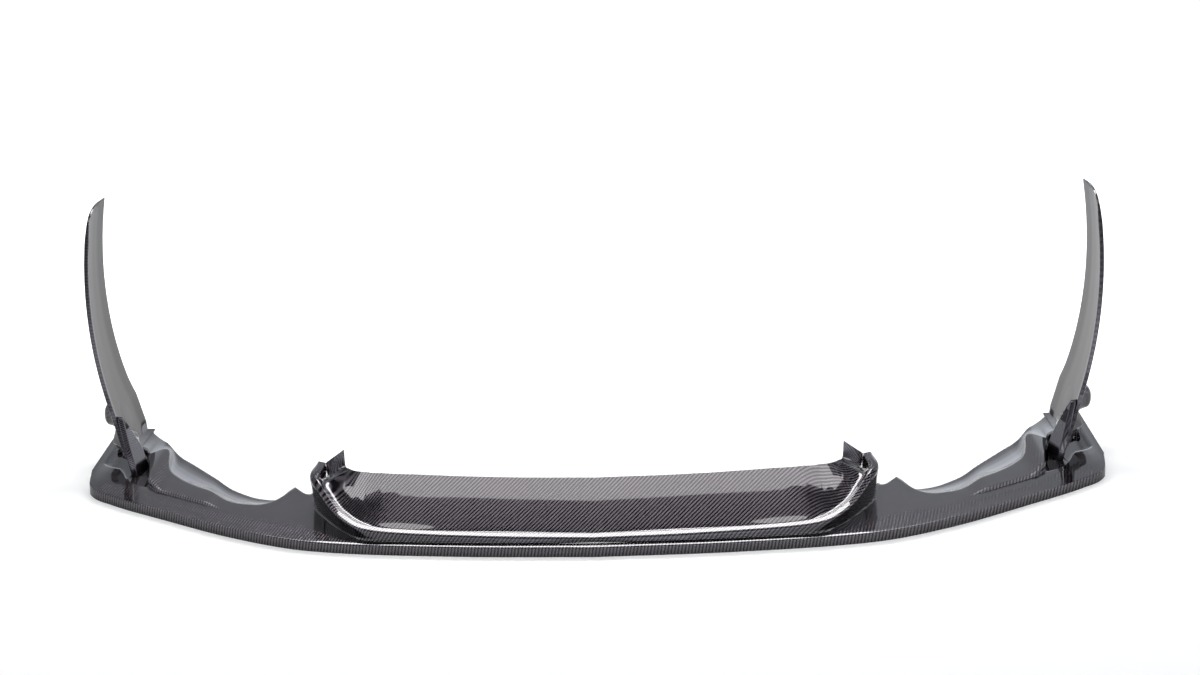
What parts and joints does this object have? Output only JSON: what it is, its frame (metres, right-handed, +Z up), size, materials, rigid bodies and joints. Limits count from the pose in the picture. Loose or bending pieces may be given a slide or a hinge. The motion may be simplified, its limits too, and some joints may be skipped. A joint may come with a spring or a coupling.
{
  "type": "front splitter lip",
  "caption": "Front splitter lip in glossy twill carbon: flat moulded skin with a scooped centre tray, side air ducts and a tall curved fin standing in a pocket at each end.",
  "frame": {"origin": "centre of the bounding box at its base, on the ground under the part", "axes": "+X to the car's left-hand side as seen from the front (the viewer's right), -Y forward, +Z up"},
  "size_m": [1.8992, 0.703, 0.487],
  "materials": {
    "carbon": "clear-coated 2x2 twill carbon weave, high gloss"
  },
  "bodies": {
    "root": {"lip": "carbon", "left_fin": "carbon", "right_fin": "carbon"}
  },
  "joints": []
}
